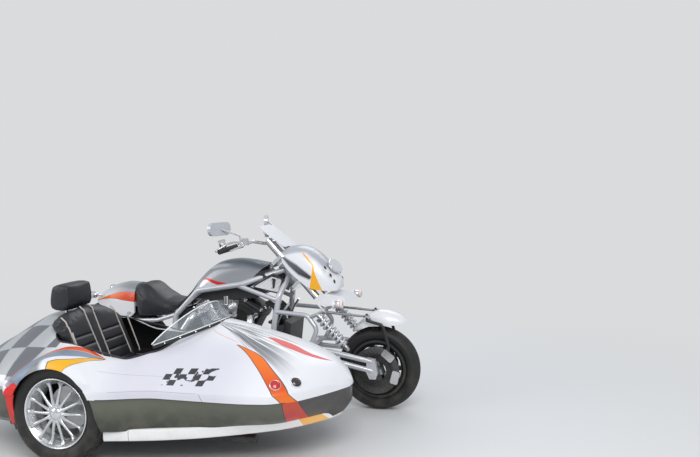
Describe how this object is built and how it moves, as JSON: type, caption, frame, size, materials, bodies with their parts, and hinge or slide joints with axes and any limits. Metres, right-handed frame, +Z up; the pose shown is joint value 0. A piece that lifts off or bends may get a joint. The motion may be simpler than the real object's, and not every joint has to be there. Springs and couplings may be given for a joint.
{
  "type": "sidecar motorcycle",
  "caption": "Solo motorcycle with raked steering and a leading-arm front end, joined on its right to a boat-shaped sidecar with a cockpit, screen and covered wheel.",
  "frame": {"origin": "on the ground below the centre of the outfit's box", "axes": "+X forward, +Y to the rider's left, +Z up"},
  "size_m": [2.5629, 1.9014, 1.2404],
  "materials": {
    "black_leather": "satin",
    "black_plastic": "satin",
    "black_steel": "gloss",
    "bright_cast": "satin",
    "brushed": "satin",
    "chrome": "gloss",
    "clear": "gloss",
    "dark_cast": "gloss",
    "engine_black": "gloss",
    "engine_grey": "satin",
    "grey_paint": "gloss",
    "rubber": "satin",
    "silver_frame": "gloss",
    "silver_paint": "gloss",
    "spring_silver": "satin",
    "tyre": "satin",
    "white": "gloss"
  },
  "bodies": {
    "chassis": {"airbox": "black_plastic", "battery_box": "black_plastic", "drive_belt": "rubber", "engine_crankcase": "engine_grey", "engine_cylinders": "engine_black", "engine_intake": "chrome", "exhaust": "chrome", "foot_controls": "chrome", "frame": "silver_frame", "front_loop": "silver_frame", "front_shocks": "spring_silver", "front_swingarm": "silver_frame", "louvred_panels": "brushed", "plate_bracket": "black_steel", "radiator": "black_plastic", "rear_fender": "silver_paint", "rear_lamps": "black_plastic", "rear_shocks": "chrome", "rear_swingarm": "bright_cast", "rider_seat": "black_leather", "sidecar_body": "silver_paint", "sidecar_bumper": "white", "sidecar_chassis": "black_steel", "sidecar_headrest": "black_leather", "sidecar_lamps": "chrome", "sidecar_nose": "silver_paint", "sidecar_seat_back": "black_leather", "sidecar_seat_cushion": "black_leather", "sidecar_swingarm": "black_steel", "sidecar_tub": "grey_paint", "sidecar_tub_nose": "grey_paint", "sidecar_windshield": "clear", "tank_cover": "silver_paint", "windshield_seal": "rubber"},
    "steering": {"fork_stubs": "silver_frame", "handlebar": "chrome", "handlebar_grips": "rubber", "hand_controls": "chrome", "mirrors": "chrome", "fairing": "silver_paint", "headlamp": "clear", "windscreen": "clear", "steering_plate": "bright_cast"},
    "wheel_carrier": {"wheel_carrier": "silver_frame", "brake_calipers": "bright_cast", "front_mudguard": "silver_paint"},
    "rod_left": {"steering_rod_left": "bright_cast"},
    "rod_right": {"steering_rod_right": "bright_cast"},
    "front_wheel": {"front_rim": "dark_cast", "front_tyre": "tyre"},
    "rear_wheel": {"rear_rim": "bright_cast", "rear_tyre": "tyre"},
    "sidecar_wheel": {"sidecar_rim": "bright_cast", "sidecar_tyre": "tyre"}
  },
  "joints": [
    {"name": "steering", "type": "hinge", "parent": "chassis", "child": "steering", "pos_m": [0.4135, 0.466, 0.878], "axis": [-0.6691, 0, 0.7431], "range_deg": [-28, 28]},
    {"name": "front_wheel_steer", "type": "hinge", "parent": "chassis", "child": "wheel_carrier", "pos_m": [1.0115, 0.466, 0.27], "axis": [-0.342, 0, 0.9397], "range_deg": [-22, 22]},
    {"name": "rod_left_pivot", "type": "hinge", "parent": "steering", "child": "rod_left", "pos_m": [0.6835, 0.581, 0.64], "axis": [-0.6045, 0.193, 0.7728], "range_deg": [-25, 25]},
    {"name": "rod_right_pivot", "type": "hinge", "parent": "steering", "child": "rod_right", "pos_m": [0.6835, 0.351, 0.64], "axis": [-0.6045, -0.193, 0.7728], "range_deg": [-25, 25]},
    {"name": "front_wheel_spin", "type": "hinge", "parent": "wheel_carrier", "child": "front_wheel", "pos_m": [1.0115, 0.466, 0.27], "axis": [0, 1, 0], "continuous": true},
    {"name": "rear_wheel_spin", "type": "hinge", "parent": "chassis", "child": "rear_wheel", "pos_m": [-0.8015, 0.466, 0.312], "axis": [0, 1, 0], "continuous": true},
    {"name": "sidecar_wheel_spin", "type": "hinge", "parent": "chassis", "child": "sidecar_wheel", "pos_m": [-0.4335, -0.842, 0.28], "axis": [0, 1, 0], "continuous": true}
  ],
  "couplings": [
    {"joint": "front_wheel_steer", "follows": "steering", "ratio": 0.7581},
    {"joint": "rod_left_pivot", "follows": "steering", "ratio": -0.8752},
    {"joint": "rod_right_pivot", "follows": "steering", "ratio": -0.8752}
  ]
}
